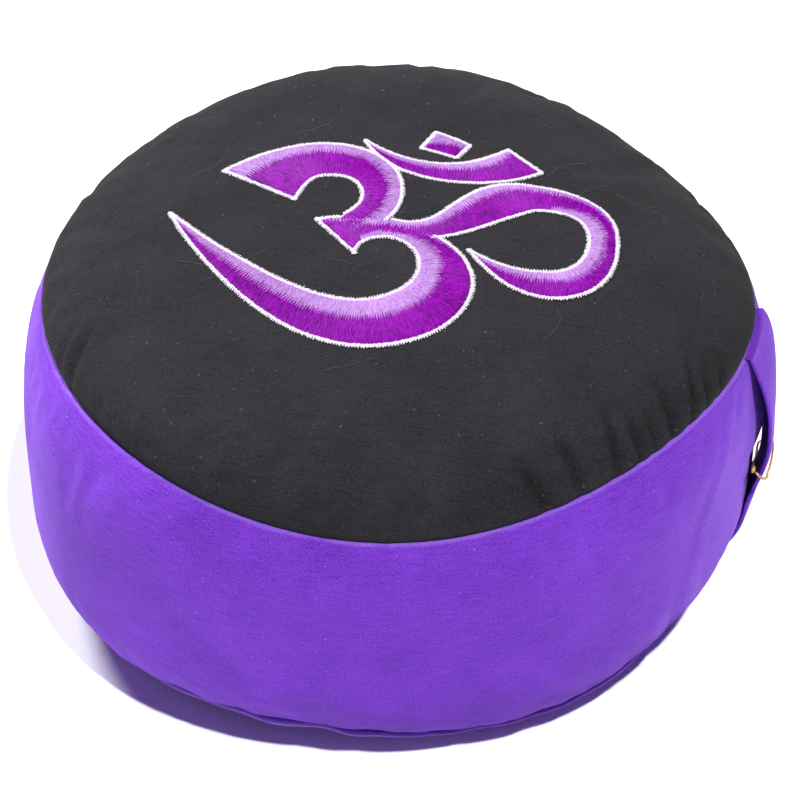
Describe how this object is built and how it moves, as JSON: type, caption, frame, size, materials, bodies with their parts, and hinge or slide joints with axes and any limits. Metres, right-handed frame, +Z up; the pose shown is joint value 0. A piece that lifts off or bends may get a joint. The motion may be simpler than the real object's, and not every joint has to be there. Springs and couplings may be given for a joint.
{
  "type": "meditation cushion",
  "caption": "Round, firmly filled floor cushion with a black embroidered top panel, a smooth purple side band and a carry handle on its side.",
  "frame": {"origin": "middle of the flat foot of the base, on the surface that the cushion rests on", "axes": "+Z up through the middle of the top panel, +X out through the carry handle"},
  "size_m": [0.332, 0.3272, 0.1679],
  "materials": {
    "purple_cotton": "matte woven cotton",
    "black_cotton": "matte woven cotton",
    "gold_thread": "satin twisted metallic thread"
  },
  "bodies": {
    "root": {"filled_body": "purple_cotton", "top_panel": "black_cotton", "bottom_panel": "purple_cotton", "carry_handle": "purple_cotton", "gold_cord": "gold_thread", "cord_knot": "gold_thread"}
  },
  "joints": []
}
